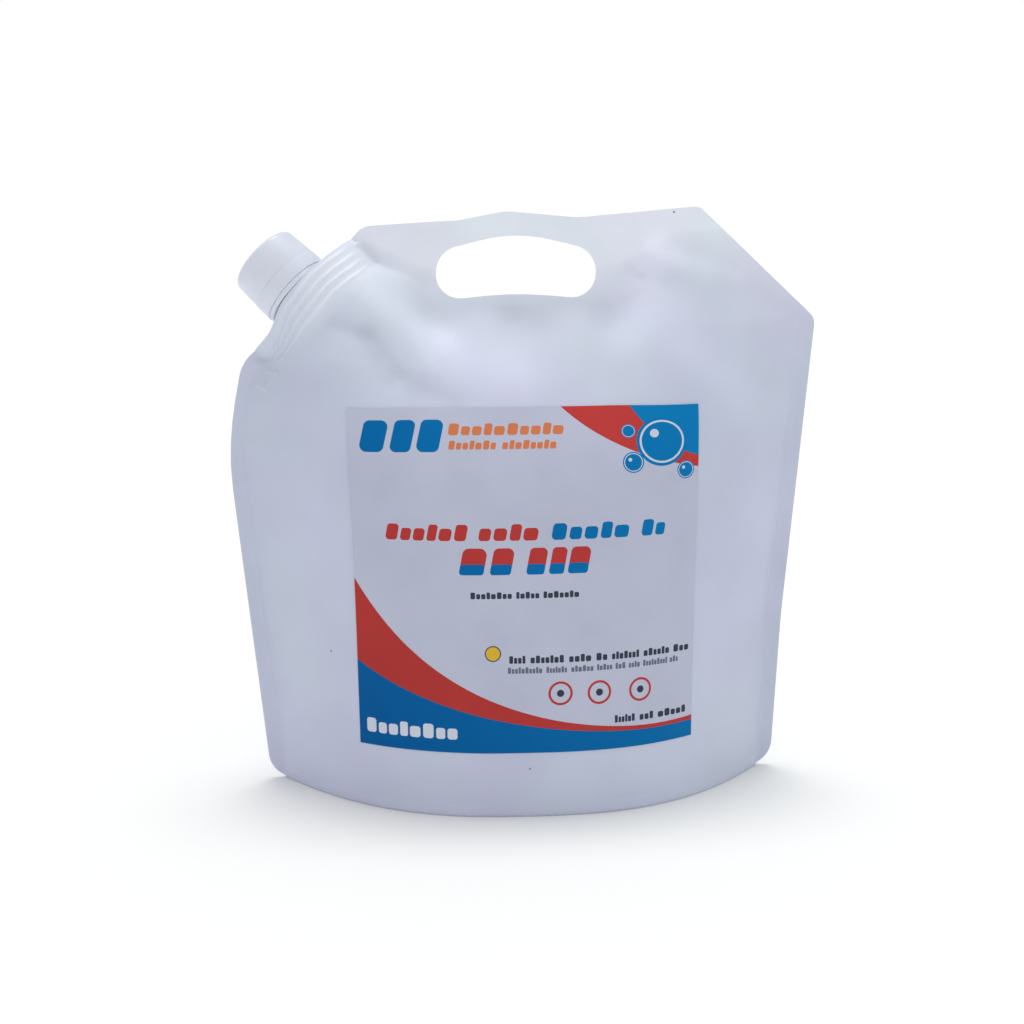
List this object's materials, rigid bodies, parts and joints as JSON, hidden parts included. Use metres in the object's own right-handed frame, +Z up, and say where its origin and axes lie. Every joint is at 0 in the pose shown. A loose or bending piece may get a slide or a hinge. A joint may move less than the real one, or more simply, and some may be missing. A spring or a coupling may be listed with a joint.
{
  "type": "stand-up spout pouch",
  "caption": "Full white film refill pouch standing on its base, with a hand hole, a printed front label and a screw-capped corner spout.",
  "frame": {"origin": "middle of the pouch's flat base, on the surface it stands on", "axes": "+X to the right seen from the front, +Y from the front film to the back film, +Z up; the seam lies in Y = 0, but for the spout's corner, which leans back"},
  "size_m": [0.3473, 0.1702, 0.3425],
  "materials": {
    "film": "satin white polyethylene film, faintly blue",
    "moulded": "white moulded polyethylene, satin",
    "liner": "pale grey foam wad",
    "label": "white film label, satin",
    "print_red": "printed brick red",
    "print_blue": "printed blue"
  },
  "bodies": {
    "pouch_body": {"pouch": "film", "spout": "moulded", "tamper_ring": "moulded", "label": "label", "label_red_band": "print_red", "label_blue_band": "print_blue", "label_corner_red": "print_red", "label_corner_blue": "print_blue"},
    "liner_body": {"cap_liner": "liner"},
    "cap_body": {"cap": "moulded"}
  },
  "joints": [
    {"name": "cap_lift", "type": "slide", "parent": "pouch_body", "child": "liner_body", "axis": [-0.6933, 0.342, 0.6343], "range_m": [0, 0.024]},
    {"name": "cap_turn", "type": "hinge", "parent": "liner_body", "child": "cap_body", "pos_m": [-0.12984, 0.01477, 0.29188], "axis": [-0.6933, 0.342, 0.6343], "range_deg": [0, 1440]}
  ],
  "couplings": [
    {"joint": "cap_lift", "follows": "cap_turn", "m_per_rad": 0.00095493}
  ]
}
